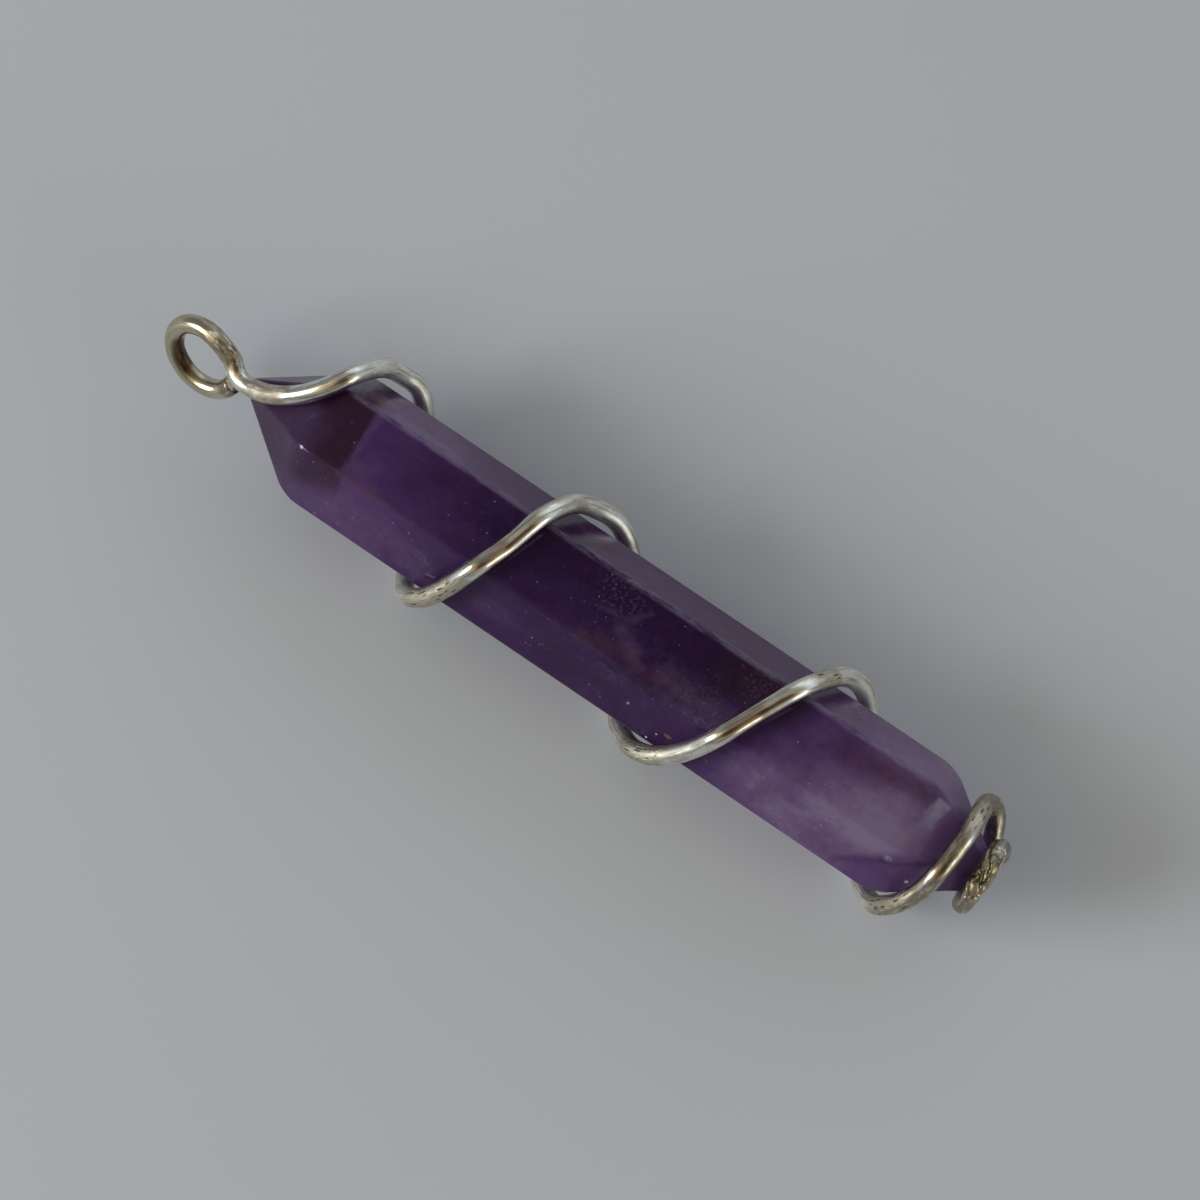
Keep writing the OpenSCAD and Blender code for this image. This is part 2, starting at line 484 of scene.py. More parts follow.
# %% Lay the purple in zones
DEEP = (0.026, 0.006, 0.046)
VIOLET = (0.088, 0.038, 0.155)
LILAC = (0.18, 0.108, 0.25)
MILK = (0.29, 0.21, 0.36)
ZONES = [(0.0, DEEP), (0.45, VIOLET), (0.8, LILAC), (1.0, MILK)]

amethyst, flow = new_material("amethyst")
in_stone = from_middle(flow)
x, y, z = axes(in_stone)
drift = cloud(in_stone, 0.45, 3.0, 0.5) - 0.5
x_soft = x + drift * 6.0
billow = cloud(stretch(in_stone, (0.6, 1, 1)), 0.5, 5.0, 0.6, 0.3)
mottle = cloud(in_stone, 2.2, 5.0, 0.7)

toward_loop = x_soft.rise(-6.0, -15.0) * 0.42
toward_tip = x_soft.rise(6.0, 17.0) * 0.76
front = y.rise(1.2, -3.4) * 0.2 + y.rise(2.0, -2.2) * x_soft.rise(3.0, 9.0) * 0.2
front = front - y.rise(-1.8, -3.0) * x.rise(11.5, 15.0) * 0.3
flank = y.rise(1.7, 2.2) * 0.24
puff = cloud(in_stone, 0.7, 2.0, 0.5).rise(0.25, 0.6)
milky = x_soft.hump(10.3, 4.6) * (y + z * 0.4).hump(-1.7, 3.2) * puff
pale = toward_loop + toward_tip + front + flank + milky * 0.2
pale = pale + (billow - 0.5) * 0.36 + (mottle - 0.5) * 0.26
body = flow.node("ShaderNodeValToRGB", {"stops": ZONES}, {"Fac": pale}, out="Color")
print("zones:", len(ZONES))

# %% [markdown]
# ## Patches, flaws and painted light
# A brown patch ends sharply near the loop's point, a thin pale veil hangs in the middle, and a healed crack
# crosses the tip with deeper violet below it. The brown patch and its pale rim are a painted reflection of
# the stone's far edges. Round these lie streaks, wisps, scratches and places that are a little darker or
# paler.
# Three of these are painted light: a painted shade of the wire on the right face, a painted reflection under
# the wire's first bend and a painted glint on the tip's shoulder. The real ones could each be modelled as a
# thin sheet inside clear glass. It is enough to tint the body along a line, and to bend all the lines with
# one noise so that none of them looks ruled.

# %% Brown patch, veil and crack
# The brown of a painted reflection of the stone's far edges, near the loop's point
REFLECTED_BROWN = (0.034, 0.011, 0.019)
MAUVE = (0.075, 0.04, 0.098)
BELOW_CRACK = (0.12, 0.055, 0.21)
TIP_SLOPES = (0.19, 0.1, 0.3)
FLANK = (0.15, 0.045, 0.14)
# The crack's line is y = slope * x - drop
CRACK_SLOPE = 0.55
CRACK_DROP = 11.86

# A painted reflection of the stone's far edges: a brown patch that ends in a sharp edge
patch_edge = (x + drift * 0.5 + y * 0.12).rise(-15.4, -15.6)
brown_patch = patch_edge * (x + drift * 3.0).rise(-19.8, -17.2) * y.rise(-3.4, -1.2)
body = (brown_patch * 0.85).tint(body, colour(*REFLECTED_BROWN))
body = x_soft.rise(-16.6, -19.0).tint(body, colour(*MAUVE))
veil = cloud(in_stone, 1.7, 6.0, 0.75, 0.8).rise(0.5, 0.66) * x.hump(1.4, 4.5) * y.hump(-1.8, 2.6)
body = (veil * 0.34).tint(body, colour(*LILAC))
below_crack = (y - x * CRACK_SLOPE + CRACK_DROP).rise(0.25, -0.2) * x.rise(14.4, 16.4)
body = (below_crack * 0.8).tint(body, colour(*BELOW_CRACK))
body = (x.rise(17.6, 18.6) * 0.7).tint(body, colour(*TIP_SLOPES))
body = (y.rise(1.8, 2.1) * 0.32).tint(body, colour(*FLANK))
print("crack meets the stone's axis at x %.1f mm" % (CRACK_DROP / CRACK_SLOPE))

# %% Flaws
INK = (0.022, 0.008, 0.024)
PLUM = (0.045, 0.014, 0.05)
CHALK = (0.42, 0.38, 0.48)
# Each flaw or painted light, painted over the ones before it: where it starts and ends, its reach, how
# strong, its colour
FLAWS_AND_PAINTED_LIGHT = {
    "rusty streak": ((-0.9, -1.8, 3.2), (1.5, -1.35, 3.3), 0.7, 0.5, (0.11, 0.048, 0.06)),
    "rusty streak, redder end": ((1.8, -1.7, 3.2), (3.7, -1.4, 3.3), 0.5, 0.5, (0.09, 0.03, 0.065)),
    "dark streak": ((0.3, -2.35, 2.7), (2.9, -2.1, 3.1), 0.42, 0.75, INK),
    "dark streak, far end": ((3.1, -2.15, 3.0), (3.8, -2.2, 2.9), 0.5, 0.6, INK),
    "broad wisp": ((0.5, -0.4, 3.3), (1.8, -1.2, 3.3), 0.65, 0.32, LILAC),
    "long thin wisp": ((-0.9, -0.1, 3.3), (0.8, 0.2, 3.3), 0.34, 0.22, LILAC),
    "short thin wisp": ((0.8, 0.2, 3.3), (1.2, 1.0, 3.3), 0.34, 0.26, LILAC),
    "smoky patch": ((6.6, 0.8, 3.3), (9.2, 1.2, 3.3), 2.2, 0.75, (0.03, 0.012, 0.014)),
    "wine band": ((13.0, 0.7, 3.3), (17.6, 1.2, 3.3), 1.1, 0.7, (0.065, 0.02, 0.045)),
    "crack on the front": ((15.2, -3.5, 0.5), (17.4, -2.6, 2.1), 0.36, 0.5, PLUM),
    "crack on the tip": ((17.4, -2.6, 2.1), (19.9, -1.0, 1.9), 0.4, 0.6, PLUM),
    # The foot and the pale rim of the painted reflection of the stone's far edges
    "brown patch, foot": ((-17.2, -2.7, 2.0), (-16.0, -2.2, 2.8), 1.7, 0.65, REFLECTED_BROWN),
    "brown patch, pale rim": ((-15.45, -1.9, 3.3), (-15.3, 1.9, 3.3), 0.3, 0.4, LILAC),
    "greyed arris": ((-14.6, 2.2, 2.8), (-11.5, 2.3, 2.7), 0.9, 0.32, (0.32, 0.28, 0.42)),
    "dark slope": ((-20.6, -1.5, 0.8), (-18.4, -2.7, 0.9), 1.7, 0.6, (0.03, 0.012, 0.038)),
    "lilac foot": ((-11.0, -3.4, 0.8), (-8.2, -3.5, 0.5), 0.8, 0.35, LILAC),
    "long scratch": ((-10.6, -2.6, 2.3), (-9.4, -2.9, 1.7), 0.16, 0.4, CHALK),
    "short scratch": ((-9.3, -3.3, 1.0), (-8.5, -3.1, 1.4), 0.14, 0.45, CHALK),
    # A painted glint: a white spot on the corner of the tip's shoulder
    "painted glint on the tip's shoulder": ((17.55, -2.35, 2.5), (17.85, -2.5, 2.3), 0.2, 0.9, (0.66, 0.6, 0.68)),
    # A painted reflection: light grey on the right face under the wire's first bend
    "painted reflection under the first bend": ((-17.2, 2.5, 2.6), (-15.9, 2.9, 1.9), 1.1, 0.5, (0.3, 0.26, 0.33)),
    "lilac front": ((-12.0, -2.9, 1.6), (-9.9, -3.0, 1.5), 1.4, 0.45, LILAC),
    "fainter lilac front": ((-6.4, -3.0, 1.4), (-5.0, -2.9, 1.6), 1.0, 0.2, LILAC),
    "shade under the wire": ((-4.4, 2.3, 2.7), (-3.0, 2.9, 1.7), 1.2, 0.85, (0.02, 0.008, 0.025)),
    "dark front": ((-1.8, -3.0, 1.4), (1.6, -3.0, 1.5), 1.4, 0.45, (0.035, 0.014, 0.03)),
    "grey cloud": ((3.8, -1.2, 3.3), (7.0, -1.5, 3.3), 1.2, 0.3, (0.19, 0.14, 0.2)),
    "violet front": ((15.8, -3.0, 1.4), (17.0, -2.9, 1.5), 1.1, 0.3, (0.08, 0.03, 0.12)),
}
# The lines waver by up to half of this to each side, in millimetres
WAVER = 0.6

jitter = flow.node("ShaderNodeTexNoise", {}, {"Vector": in_stone, "Scale": 1.6, "Detail": 4.0}, out="Color")
centring = {0: jitter, 1: (WAVER, WAVER, WAVER), 2: (-WAVER / 2, -WAVER / 2, -WAVER / 2)}
jitter = flow.node("ShaderNodeVectorMath", {"operation": "MULTIPLY_ADD"}, centring)
wavy = flow.node("ShaderNodeVectorMath", {"operation": "ADD"}, {0: in_stone, 1: jitter})
broken = mottle.rise(0.25, 0.6) * 0.6 + 0.4
for start, end, reach, strength, tone in FLAWS_AND_PAINTED_LIGHT.values():
    body = (beside(wavy, start, end, reach) * broken * strength).tint(body, colour(*tone))
print("flaws:", len(FLAWS_AND_PAINTED_LIGHT))

# %% [markdown]
# ## Wear and painted light on the stone
# The long arris to the right is rubbed grey, with a painted highlight along it, the one to the left glows red
# near the loop, and the worn shoulder of the tip carries a painted highlight on its top side. White spots are
# painted glints, a grain of brown grit sits beside the wire, and pale specks and haze lie on the faces. The
# glints are a tenth to a third of a millimetre wide, so colour alone shows them. How near a point is to an
# arris comes from how far out it lies in the arris's own direction from the axis.

# %% Rub the arrises
LEAN = math.radians(180 / SIDES)
GREY_LILAC = colour(0.34, 0.30, 0.46)
RED_GLOW = colour(0.15, 0.06, 0.09)

right_arris = (z * math.cos(LEAN) + y * math.sin(LEAN)) / CORNER_R
left_arris = (z * math.cos(LEAN) - y * math.sin(LEAN)) / CORNER_R
scuffs = cloud(stretch(in_stone, (0.25, 1, 1)), 3.0, 4.0, 0.7)
# Wear and a painted highlight: grey lilac along the right arris, broken by scuffs
rubbed_and_highlit = right_arris.rise(0.955, 0.99) * scuffs.rise(0.3, 0.6) * x.size().rise(18.5, 16.5)
body = (rubbed_and_highlit * 0.5).tint(body, GREY_LILAC)
red_line = left_arris.rise(0.975, 0.99) * x.hump(-13.5, 5.5) * scuffs.rise(0.35, 0.55)
body = (red_line * 0.55).tint(body, RED_GLOW)
print("arrises lean %.0f degrees from upright" % math.degrees(LEAN))

# %% Dust the faces
DUSTIEST = ((-1.5, 0.5, 3.3), 4.5)
HAZY = (((-0.5, 1.1, 3.3), 2.0), ((7.9, 1.3, 3.3), 2.0))
LESS_HAZY = ((6.0, -1.6, 3.1), 2.6)
DUST = colour(0.5, 0.47, 0.56)
HAZE = colour(0.36, 0.31, 0.38)

dusty = cloud(in_stone, 1.1, 3.0, 0.7).rise(0.42, 0.7).high(near(in_stone, *DUSTIEST) * 0.7)
specks = (cells(in_stone, 2.8) / (dusty + 0.2)).rise(0.14, 0.05)
body = (specks * (dusty * 0.7 + 0.2)).tint(body, DUST)
haze = near_any(in_stone, HAZY).high(near(in_stone, *LESS_HAZY) * 0.8).rise(0.0, 0.7) + dusty * 0.25
flecks = cloud(in_stone, 5.5, 4.0, 0.75).rise(0.48, 0.7)
body = (haze * flecks * 0.18).tint(body, HAZE)
print("hazy places:", len(HAZY) + 1)

# %% Paint a highlight on the tip's shoulder and glints on the stone
# White spots painted as glints, at corners of both points and on the front face
GLINTS = (
    ((-17.8, -1.88, 3.2), 0.24), ((18.86, -2.5, 0.8), 0.17),
    ((4.21, -3.68, 0.23), 0.1), ((4.6, -3.37, 0.76), 0.08),
)
FAINT_GLINT = ((2.65, -2.99, 1.43), 0.13)
# The grain of grit is longer than it is wide, so its place is given in a space that is shorter along x
GRIT_STRETCH = (0.6, 1, 1)
GRIT = ((3.1, -3.2, 1.06), 0.21)
GLINT_WHITE = colour(0.93, 0.93, 0.98)
GRIT_BROWN = colour(0.3, 0.17, 0.1)
# Colours of the painted highlight on the tip's worn shoulder
SHOULDER_HIGHLIGHT_WARM = colour(0.31, 0.21, 0.33)
SHOULDER_HIGHLIGHT_COOL = colour(0.37, 0.37, 0.5)

wavy_x, wavy_y, wavy_z = axes(wavy)
# A painted highlight, the reflection of a lamp, on the top side of the tip's worn shoulder
shoulder_highlight = wavy_x.rise(17.75, 18.1) * (wavy_x - y * 0.1).rise(18.65, 18.4) * wavy_z.rise(0.5, 1.5)
shoulder_highlight = shoulder_highlight * wavy_y.rise(-1.4, 1.3) * y.rise(1.55, 1.4) * (mottle.rise(0.25, 0.55) * 0.6 + 0.4)
body = (shoulder_highlight * 0.75).tint(body, y.rise(-0.9, 0.5).tint(SHOULDER_HIGHLIGHT_WARM, SHOULDER_HIGHLIGHT_COOL))
# Painted glints: white spots, and a fainter one
glints = near_any(in_stone, GLINTS).rise(0.1, 0.5).high(near(in_stone, *FAINT_GLINT).rise(0.1, 0.5) * 0.4)
body = glints.tint(body, GLINT_WHITE)
grit = near(stretch(in_stone, GRIT_STRETCH), *GRIT).rise(0.1, 0.5)
body = (grit * 0.8).tint(body, GRIT_BROWN)
print("chips:", len(GLINTS) + 1)

# %% [markdown]
# ## The stone's polish
# Its faces reflect little when they are seen straight on and much more at a slant, which is why the narrow
# face to the right looks grey. The polish is good but uneven, and dull where hands have smudged it, beside
# the wire and on both points. A faint bump bends the reflections, and part of the light passes through the
# surface as through glass, which a plain glossy paint would not show.

# %% Polish the stone
SMUDGED = (
    ((5.4, -3.2, 1.4), 2.6), ((-19.4, -0.6, 2.4), 1.8),
    ((18.6, -2.4, 1.2), 1.8), ((20.8, 1.4, 0.4), 1.6),
)
BUMP_HEIGHT = 0.2 * MM


def dress(piece, material, flow, skin, relief, strength):
    """Closes a material with a Principled surface over a bump, and gives it to its piece."""
    heights = {"Height": relief, "Strength": strength, "Distance": BUMP_HEIGHT}
    skin["Normal"] = flow.node("ShaderNodeBump", {}, heights, out="Normal")
    surface = flow.node("ShaderNodeBsdfPrincipled", {}, skin)
    flow.node("ShaderNodeOutputMaterial", {}, {"Surface": surface})
    piece.data.materials.append(material)
    print("%s: a material of %d nodes" % (piece.name, len(material.node_tree.nodes)))


gloss = cloud(in_stone, 1.3, 4.0, 0.7).rise(0.35, 0.75) * 0.12 + 0.12
gloss = gloss + near_any(in_stone, SMUDGED).rise(0.0, 0.5) * 0.3
stone_relief = cloud(in_stone, 0.8, 2.0, 0.5) * 0.6 + cloud(in_stone, 9.0, 3.0, 0.6) * 0.05
stone_skin = {
    "Base Color": body, "Roughness": gloss, "IOR": 1.45, "Specular Tint": colour(0.72, 0.5, 0.9),
    "Specular IOR Level": 0.3, "Transmission Weight": 0.3,
}
dress(stone, amethyst, flow, stone_skin, stone_relief, strength=0.25)

# %% [markdown]
# ## The wire's route
# The wire was wound by hand, so no formula gives its route. A table does, a row for each bend: how far along
# the stone, how far round it, and how far off it. The hanging loop is most of a circle and comes from a loop.
# A smooth curve runs through all of these points, the same one as in the solid model, so that the fine wire
# lies exactly where the plain one does. The curve is then cut into short equal steps.

# %% Chart the hanging loop
WIRE_R = WIRE_D / 2
LOOP_HOLE_D = 2.9
LOOP_CENTRE = Vector((LOOP_END - 2.3, -0.2, 0.1))
LOOP_LEAN = math.radians(30)
LOOP_SWING = math.radians(7)
LOOP_START = -14.0
LOOP_FINISH = -284.0
LOOP_BENDS = 12
LOOP_RISE = 0.4


def loop_point(bend):
    """A point of the hanging loop's centre line, from bend 0 at the cut end."""
    share = bend / LOOP_BENDS
    angle = math.radians(LOOP_START + (LOOP_FINISH - LOOP_START) * share)
    up = Vector((0, math.sin(LOOP_LEAN), math.cos(LOOP_LEAN)))
    out = Vector((0, -math.cos(LOOP_LEAN), math.sin(LOOP_LEAN)))
    along = Vector((math.cos(LOOP_SWING), 0, 0)) + out * math.sin(LOOP_SWING)
    radius = (LOOP_HOLE_D + WIRE_D) / 2
    aside = LOOP_RISE * (share - 0.5) * along.cross(up)
    return LOOP_CENTRE + radius * (along * math.cos(angle) + up * math.sin(angle)) + aside


route = [loop_point(bend) for bend in range(LOOP_BENDS + 1)]
print("loop: %d points round a %.1f mm hole" % (len(route), LOOP_HOLE_D))

# %% Chart the winding
# Each bend: along the stone in mm, turn in degrees from the top face, lift in mm off the corners
WINDING = (
    (-23.5, 8, 0.85), (-22.85, -14, 0.62), (-22.1, -18, 0.25), (-21, -10, 0.05), (-20, 0, -0.08),
    (-19.1, 10, -0.08), (-18.35, 20, 0.03), (-17.75, 31, 0.13), (-17.3, 50, 0.05), (-16.95, 74, 0.05),
    (-16.35, 94, 0.35), (-15.65, 103, 0.6), (-15, 113, 0.5), (-14.4, 130, 0.35), (-13.7, 152, 0.03),
    (-12.6, 180, -0.47), (-11.4, 208, 0.03), (-10.6, 230, 0.1), (-10, 252, 0.05), (-9.4, 270, 0.05),
    (-8.65, 284, -0.1), (-7.85, 306, -0.28), (-7.05, 332, 0.05), (-6.42, 355, -0.47), (-5.85, 382, 0),
    (-5.4, 404, -0.04), (-4.95, 428, -0.1),
    (-4.25, 448, 0.12), (-3.4, 460, 0.42), (-2.6, 471, 0.42), (-1.8, 488, 0.33), (-1.1, 511, 0.03),
    (0.1, 540, -0.47), (1.4, 568, 0.03), (2.4, 590, 0.08), (3.15, 608, -0.05), (4, 625, 0.04),
    (4.95, 637, 0), (5.9, 650, -0.25), (6.8, 670, -0.28), (7.55, 690, 0.06), (8.5, 718, -0.47),
    (9.45, 744, 0.04), (10.1, 768, -0.12), (10.65, 798, 0),
    (11.3, 816, 0.3), (11.9, 829, 0.4), (12.6, 848, 0.3), (13.2, 871, 0.03), (14.4, 900, -0.47),
    (15.9, 928, 0.03), (17.1, 948, 0.05), (17.95, 965, 0.05),
    (18.6, 981, 0.1), (19.15, 998, 0.14), (19.7, 1020, 0.12), (20, 1048, 0.28), (20.12, 1076, 0.12),
    (20.12, 1102, 0.16), (20, 1132, 0.12), (19.95, 1160, 0.35), (20.25, 1174, 0.72), (20.7, 1187, 0.75),
    (21.1, 1212, 0.45), (21.35, 1255, 0.2), (21.55, 1300, 0.18), (21.7, 1350, 0.18), (21.8, 1395, 0.18),
    (21.8, 1440, 0.18), (21.75, 1485, 0.18), (21.75, 1530, 0.2), (21.85, 1560, 0.25),
)


def winding_point(along, turn, lift):
    reach = corner_at(along) + WIRE_R + CLEARANCE + lift
    angle = math.radians(turn)
    return Vector((along, reach * math.sin(angle), reach * math.cos(angle)))


route += [winding_point(*row) for row in WINDING]
print("route: %d points" % len(route))

# %% Run a smooth curve through the route
STEP = 0.12
FINE = 40


def blend(p, q, start, end, at):
    return (p * (end - at) + q * (at - start)) / (end - start)


def curve_point(p, q, r, s, share):
    """A point of the smooth curve between q and r, with p before them and s after."""
    k1 = (q - p).length ** 0.5
    k2 = k1 + (r - q).length ** 0.5
    k3 = k2 + (s - r).length ** 0.5
    at = k1 + (k2 - k1) * share
    pq, qr, rs = blend(p, q, 0, k1, at), blend(q, r, k1, k2, at), blend(r, s, k2, k3, at)
    return blend(blend(pq, qr, 0, k2, at), blend(qr, rs, k1, k3, at), k1, k2, at)


padded = [2 * route[0] - route[1], *route, 2 * route[-1] - route[-2]]
fine = [curve_point(*padded[i:i + 4], k / FINE) for i in range(len(route) - 1) for k in range(FINE)]
fine.append(route[-1])

centre_line = [fine[0]]
gone = 0.0
for before, after in zip(fine, fine[1:]):
    gone += (after - before).length
    if gone >= STEP:
        centre_line.append(after)
        gone -= STEP
wire_length = sum((b - a).length for a, b in zip(centre_line, centre_line[1:]))
print("wire: %d places, %.1f mm long" % (len(centre_line), wire_length))

# %% [markdown]
# ## The wire's shape
# One wire, a millimetre thick, makes the loop, the winding and the end ring. A tube could be skinned ring by
# ring, but a curve with a round bevel does the same and keeps its rings from twisting. Drawn as a curve and
# turned into a mesh, it has its rings in order, so each corner of the mesh can be told how far along the wire
# and how far round it lies. That is saved as an attribute, a straightened copy of the wire, in which draw
# lines run lengthwise through every bend.

# %% Sweep the wire
ROUNDNESS = 12
WIRE_SIDES = 4 + 2 * ROUNDNESS

route_curve = bpy.data.curves.new("wire_route", "CURVE")
route_curve.dimensions = "3D"
route_curve.bevel_depth = WIRE_R
route_curve.bevel_resolution = ROUNDNESS
route_curve.twist_mode = "MINIMUM"
spline = route_curve.splines.new("POLY")
spline.points.add(len(centre_line) - 1)
for point, at in zip(spline.points, centre_line):
    point.co = (*at, 1)
drawn = bpy.data.objects.new("wire_route", route_curve)
swept = bpy.data.meshes.new_from_object(drawn)

bm = bmesh.new()
bm.from_mesh(swept)
for leftover in (drawn, route_curve, swept):
    bpy.data.batch_remove([leftover])

straight = bm.verts.layers.float_vector.new("straight")
for vert in bm.verts:
    ring_number, corner_number = divmod(vert.index, WIRE_SIDES)
    around = 2 * math.pi * corner_number / WIRE_SIDES
    vert[straight] = (WIRE_R * math.cos(around), WIRE_R * math.sin(around), ring_number * STEP)
print("wire: %d rings of %d corners" % (len(centre_line), WIRE_SIDES))

# %% Close its cut ends
CUT_EDGE = 0.1

ends = bmesh.ops.holes_fill(bm, edges=[edge for edge in bm.edges if edge.is_boundary], sides=0)["faces"]
bmesh.ops.recalc_face_normals(bm, faces=bm.faces)
rims = {edge for face in ends for edge in face.edges}
round_off(bm, list(rims), CUT_EDGE, steps=3)
print("%d ends, closed: %s" % (len(ends), all(edge.is_manifold for edge in bm.edges)))

# %% [markdown]
# ## The wire's knocks
# Winding by hand has left the wire slightly uneven, and its last turn, pressed over the blunt tip, is crushed
# into lumps with crevices between. Bump in the material would leave its outline smooth, so these are vertex
# moves: each corner is pushed out or in by a little noise, and more where the wire is crushed. Noise crosses
# zero along lines, so its size without its sign makes round lumps that meet in sharp crevices.

# %% Give the crushed ring more faces
CRUSHED_AT = Vector((22.0, -0.1, 1.7))
CRUSHED_REACH = 1.9

crushed = [face for face in bm.faces if (face.calc_center_median() - CRUSHED_AT).length < CRUSHED_REACH]
crushed_edges = {edge for face in crushed for edge in face.edges}
bmesh.ops.subdivide_edges(bm, edges=list(crushed_edges), cuts=2, use_grid_fill=True)
bm.normal_update()
print("%d faces crushed, %d in all" % (len(crushed), len(bm.faces)))

# %% Knock the wire
UNEVEN = 0.009
UNEVEN_SPAN = 1.4
LUMP_SIZE = 0.6
LUMP_HEIGHT = 0.1
SMALL_LUMPS = 2.3
CREVICE_DEPTH = 0.05


def smooth(value, start, end):
    """0 up to start, 1 from end on, and a soft step between. start may be the larger."""
    share = min(1.0, max(0.0, (value - start) / (end - start)))
    return share * share * (3 - 2 * share)


knocked = bm.verts.layers.float_vector.new("knocked")
moves = {}
for vert in bm.verts:
    push = UNEVEN * noise.noise(vert[straight] * UNEVEN_SPAN)
    crush = smooth((vert.co - CRUSHED_AT).length, CRUSHED_REACH, CRUSHED_REACH * 0.5)
    if crush > 0:
        spread = vert.co / LUMP_SIZE
        swell = abs(noise.noise(spread)) + 0.3 * abs(noise.noise(spread * SMALL_LUMPS))
        lump = smooth(swell, 0.0, 0.45)
        crevice = smooth(swell, 0.16, 0.03)
        push += crush * (LUMP_HEIGHT * (lump - 0.3) - CREVICE_DEPTH * crevice)
        vert[knocked] = (crush, crevice, 0)
    moves[vert] = vert.normal * push
for vert, move in moves.items():
    vert.co += move
for face in bm.faces:
    face.smooth = True
wire = finish_piece(bm, "silvered_wire", "wire_wrap")
print("wire box", tuple(wire.dimensions))

# %% [markdown]
# ## The wire's finish
# Silver plate over brass is a bright, faintly warm metal, and drawing has left fine lines along it. The loop
# is yellower than the rest. Tarnish is olive and brown, and lies thickest on the last turn, on the neck and
# on the loop and its inner wall. A metal's colour is its reflection, so tarnish is a darker metal here and
# not a paint on top. The draw lines follow the straightened copy of the wire, and each stain has a place.
# Two coppery spots in the middle of the runs are not stains but painted reflections of the dark warm room.

# %% Tarnish the silver
SILVER = colour(0.86, 0.84, 0.77)
OLIVE = colour(0.46, 0.41, 0.29)
UMBER = colour(0.27, 0.21, 0.135)
STRAW = colour(0.47, 0.4, 0.23)
PEAT = colour(0.11, 0.07, 0.035)
# The coppery brown of painted reflections of the dark warm room
WARM_REFLECTION = colour(0.4, 0.27, 0.2)

# Each tarnished place of the loop and neck: its point and reach, where it is full and how strong it is
TARNISHED = (
    ((-24.2, 1.1, 2.2), 2.6, 0.6, 0.85),
    ((-21.2, -0.2, 2.6), 2.2, 0.5, 0.7),
    ((-23.1, -0.6, -0.2), 1.3, 0.6, 0.95),
)
# Painted reflections, coppery, between the two highlights of two runs over the top face
WARM_REFLECTION_SPOTS = (((8.3, -1.0, 4.3), 1.9), ((-6.3, -0.9, 4.3), 1.2))

silvered, flow = new_material("silvered_wire")
on_wire = from_middle(flow)
along_stone, across_stone, _ = axes(on_wire)
unrolled = flow.node("ShaderNodeAttribute", {"attribute_name": "straight"}, out="Vector")

draw_lines = cloud(stretch(unrolled, (1, 1, 0.05)), 8.0, 2.0, 0.5)
blotches = cloud(stretch(unrolled, (1, 1, 0.5)), 1.6, 5.0, 0.65)
grain = cloud(stretch(unrolled, (1, 1, 0.35)), 6.0, 4.0, 0.7)
metal = (blotches.rise(0.45, 0.7) * 0.5).tint(SILVER, OLIVE)
metal = (draw_lines.rise(0.5, 0.66) * 0.65).tint(metal, UMBER)
metal = (grain.rise(0.5, 0.62) * 0.35).tint(metal, OLIVE)

inner_wall = near(on_wire, tuple(LOOP_CENTRE), 2.3).rise(0.04, 0.22)
in_the_loop = near(on_wire, (-25.9, -0.7, -0.4), 1.9).rise(0.1, 0.5) * (inner_wall * 0.7 + 0.2)
aged = (along_stone.rise(17.6, 19.6) * 0.85).high(in_the_loop)
for point, reach, full, strength in TARNISHED:
    aged = aged.high(near(on_wire, point, reach).rise(0.1, full) * strength)
metal = (along_stone.rise(-22.6, -24.0) * 0.7).tint(metal, STRAW)
metal = (aged * (blotches * 0.5 + grain * 0.5).rise(0.3, 0.55)).tint(metal, UMBER)
darkest = near(on_wire, (-26.3, -0.6, -0.6), 1.6).rise(0.1, 0.5) * blotches.rise(0.3, 0.45) * inner_wall
metal = (darkest * 0.9).tint(metal, PEAT)
# A painted reflection: coppery brown in the middle of two runs
metal = (near_any(on_wire, WARM_REFLECTION_SPOTS).rise(0.1, 0.6) * 0.55).tint(metal, WARM_REFLECTION)
print("tarnished places:", len(TARNISHED) + 2)

# %% [markdown]
# ## Marks of the tools
# Pliers gripped the wire at its bends. They left rows of short dark pits, with dull olive metal and bright
# scuffs round them, and the stretch from the loop to the neck is rasped rough. The pits could be pressed into
# the mesh, but they are only a few hundredths of a millimetre deep. Scattered cells, drawn long in the
# straightened space and kept only near the gripped places, make them in the material.

# %% Grip and rasp the wire
BRIGHT = colour(0.96, 0.95, 0.91)
SOOT = colour(0.035, 0.03, 0.022)
GRIPPED = (
    ((-8.3, -4.0, 1.6), 2.9), ((4.2, -4.2, 0.6), 2.4), ((18.6, -3.8, 0.2), 2.6), ((20.1, 1.9, 2.4), 1.7),
    ((-4.2, 3.6, 2.6), 1.2), ((-24.1, 0.8, 2.2), 1.5), ((10.3, 3.3, 3.2), 1.5), ((-7.0, -3.2, 3.3), 1.0),
)
RASPED = (((-24.3, 0.8, 2.2), 1.3), ((-22.8, 0.2, 1.7), 0.9))

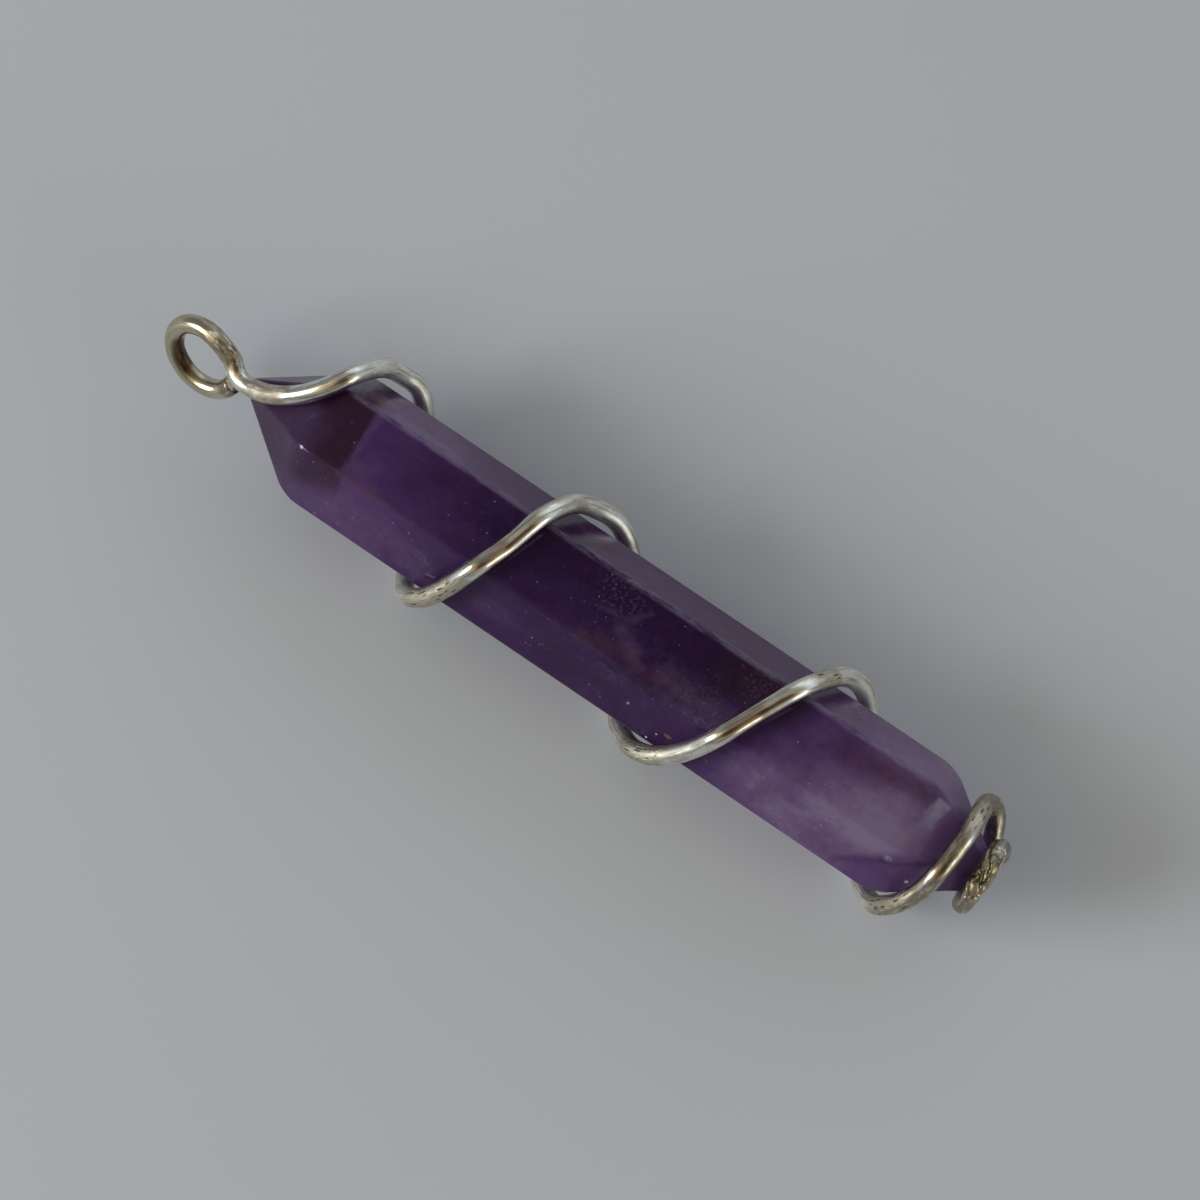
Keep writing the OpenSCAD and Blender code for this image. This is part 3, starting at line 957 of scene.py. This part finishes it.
gripped = near_any(on_wire, GRIPPED)
pits = cells(stretch(unrolled, (1, 1, 0.25)), 6.0).rise(0.42, 0.24) * gripped.rise(0.12, 0.5)
pits = pits * cloud(stretch(unrolled, (1, 1, 0.3)), 3.0, 2.0).rise(0.38, 0.48)
metal = (gripped.rise(0.0, 0.4) * 0.75).tint(metal, OLIVE)
scuff = gripped.rise(0.05, 0.5) * grain.rise(0.52, 0.64)
metal = (scuff * 0.4).tint(metal, BRIGHT)
rasped = near_any(on_wire, RASPED).rise(0.1, 0.5)
metal = (rasped * grain.rise(0.52, 0.42) * 0.7).tint(metal, UMBER)
metal = (rasped * grain.rise(0.54, 0.62) * 0.8).tint(metal, BRIGHT)
metal = (pits * 0.85).tint(metal, SOOT)
print("gripped in %d places, rasped in %d" % (len(GRIPPED), len(RASPED)))

# %% [markdown]
# ## The crushed ring
# Where the end ring was crushed, the plate has broken. Its lumps show brass, and soot fills the crevices and
# stains two patches. The lumps were made by moving corners, and each corner kept how strongly it is crushed
# and how deep in a crevice it lies, so the colours can follow the shape without finding it again.

# %% Stain the ring
BRASS = colour(0.48, 0.32, 0.15)
BARE_BRASS = ((22.1, -0.5, 1.9), 1.3)
SOOTY = (((21.9, -0.5, 2.1), 0.9), ((21.9, 0.6, 1.9), 0.7))

crush, crevice, _ = axes(flow.node("ShaderNodeAttribute", {"attribute_name": "knocked"}, out="Vector"))
metal = (crush * 0.8).tint(metal, OLIVE)
nuggets = near(on_wire, *BARE_BRASS).rise(0.1, 0.5) * cloud(on_wire, 1.6, 3.0).rise(0.42, 0.58)
metal = (nuggets * 0.85).tint(metal, BRASS)
sooty = near_any(on_wire, SOOTY).rise(0.1, 0.7) * cloud(on_wire, 3.2, 2.0).rise(0.42, 0.55)
metal = (sooty * 0.75).tint(metal, SOOT)
metal = (crush * crevice * 0.85).tint(metal, SOOT)
metal = (crush * grain.rise(0.5, 0.6) * (1 - nuggets * 0.8) * 0.45).tint(metal, SOOT)
print("sooty patches:", len(SOOTY))

# %% [markdown]
# ## The wire's polish
# The runs over the stone's face are worn bright. The bends at its sides, the neck and one stretch of the loop
# are duller, and pits, tarnish and the crushed ring are duller still. Rough metal scatters its highlight, so
# the same masks that darkened the colour now raise the roughness. A bump adds the draw lines, pits and grain.

# %% Polish the wire
DULL_NECK = ((-21.2, -0.2, 2.6), 1.9)
DULL_LOOP = ((-24.2, 0.9, 2.2), 1.8)

matte = across_stone.size().rise(2.4, 4.2) * 0.2 + near(on_wire, *DULL_NECK).rise(0.1, 0.5) * 0.35
matte = matte + near(on_wire, *DULL_LOOP).rise(0.1, 0.5) * 0.2
polish = blotches * 0.12 + grain * 0.12 + matte + 0.11
polish = polish.high(pits * 0.7).high(crush * 0.45 - nuggets * 0.15).high(aged * 0.34)
wire_relief = draw_lines * 0.03 - pits * 0.25 + grain * (matte * 0.5 + rasped * 0.3 + 0.03) + scuff * 0.06
wire_skin = {"Base Color": metal, "Metallic": 1 - pits * 0.7, "Roughness": polish}
dress(wire, silvered, flow, wire_skin, wire_relief, strength=0.5)
